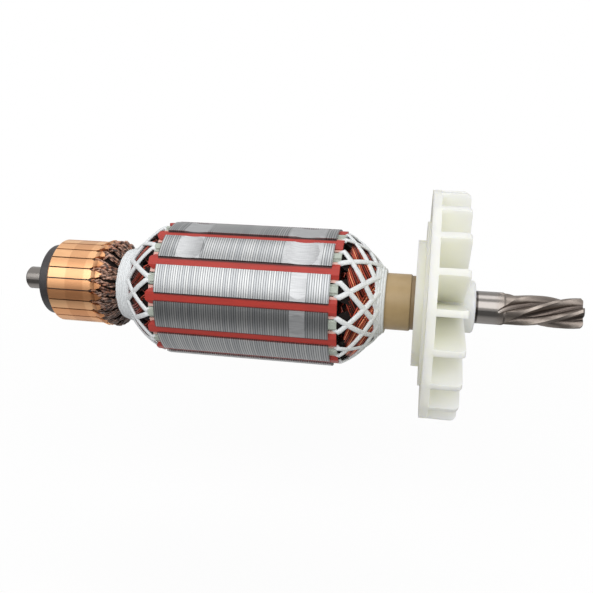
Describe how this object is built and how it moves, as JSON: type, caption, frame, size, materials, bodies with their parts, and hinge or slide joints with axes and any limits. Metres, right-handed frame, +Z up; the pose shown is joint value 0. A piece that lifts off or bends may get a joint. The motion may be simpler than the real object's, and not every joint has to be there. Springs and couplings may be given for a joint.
{
  "type": "motor armature",
  "caption": "Wound motor armature: stepped shaft with helical pinion, copper commutator, laced windings in a slotted steel core, and a bladed cooling fan.",
  "frame": {"origin": "on the shaft axis, in the middle of the drive-end bearing seat", "axes": "+X along the shaft towards the pinion, +Z up"},
  "size_m": [0.2174, 0.0842, 0.0842],
  "materials": {
    "shaft_steel": "ground, polished on the journals and dull on the pinion",
    "sleeve_plastic": "tan moulded, satin",
    "core_steel": "ground edges of stamped sheets",
    "disc_fibre": "grey-green insulating board",
    "liner_paper": "pinkish insulating paper",
    "wedge_fibre": "red vulcanised fibre",
    "winding_copper": "enamelled copper wire, varnished",
    "moulding_black": "black moulding compound",
    "bar_copper": "turned bright copper",
    "lead_varnish": "grey-brown varnished wire ends",
    "cord_white": "white lacing cord, varnished",
    "fan_nylon": "natural nylon, slightly translucent"
  },
  "bodies": {
    "root": {"armature_shaft": "shaft_steel", "armature_winding": "winding_copper", "commutator_bar_01": "bar_copper", "commutator_bar_02": "bar_copper", "commutator_bar_03": "bar_copper", "commutator_bar_04": "bar_copper", "commutator_bar_05": "bar_copper", "commutator_bar_06": "bar_copper", "commutator_bar_07": "bar_copper", "commutator_bar_08": "bar_copper", "commutator_bar_09": "bar_copper", "commutator_bar_10": "bar_copper", "commutator_bar_11": "bar_copper", "commutator_bar_12": "bar_copper", "commutator_bar_13": "bar_copper", "commutator_bar_14": "bar_copper", "commutator_bar_15": "bar_copper", "commutator_bar_16": "bar_copper", "commutator_bar_17": "bar_copper", "commutator_bar_18": "bar_copper", "commutator_bar_19": "bar_copper", "commutator_bar_20": "bar_copper", "commutator_bar_21": "bar_copper", "commutator_bar_22": "bar_copper", "commutator_bar_23": "bar_copper", "commutator_bar_24": "bar_copper", "commutator_end_disc": "disc_fibre", "commutator_end_lacing": "cord_white", "commutator_leads": "lead_varnish", "commutator_moulding": "moulding_black", "cooling_fan": "fan_nylon", "drive_end_disc": "disc_fibre", "drive_end_lacing": "cord_white", "lamination_core": "core_steel", "shaft_insulating_sleeve": "sleeve_plastic", "slot_liner_01": "liner_paper", "slot_liner_02": "liner_paper", "slot_liner_03": "liner_paper", "slot_liner_04": "liner_paper", "slot_liner_05": "liner_paper", "slot_liner_06": "liner_paper", "slot_liner_07": "liner_paper", "slot_liner_08": "liner_paper", "slot_liner_09": "liner_paper", "slot_liner_10": "liner_paper", "slot_liner_11": "liner_paper", "slot_liner_12": "liner_paper", "slot_wedge_01": "wedge_fibre", "slot_wedge_02": "wedge_fibre", "slot_wedge_03": "wedge_fibre", "slot_wedge_04": "wedge_fibre", "slot_wedge_05": "wedge_fibre", "slot_wedge_06": "wedge_fibre", "slot_wedge_07": "wedge_fibre", "slot_wedge_08": "wedge_fibre", "slot_wedge_09": "wedge_fibre", "slot_wedge_10": "wedge_fibre", "slot_wedge_11": "wedge_fibre", "slot_wedge_12": "wedge_fibre"}
  },
  "joints": []
}
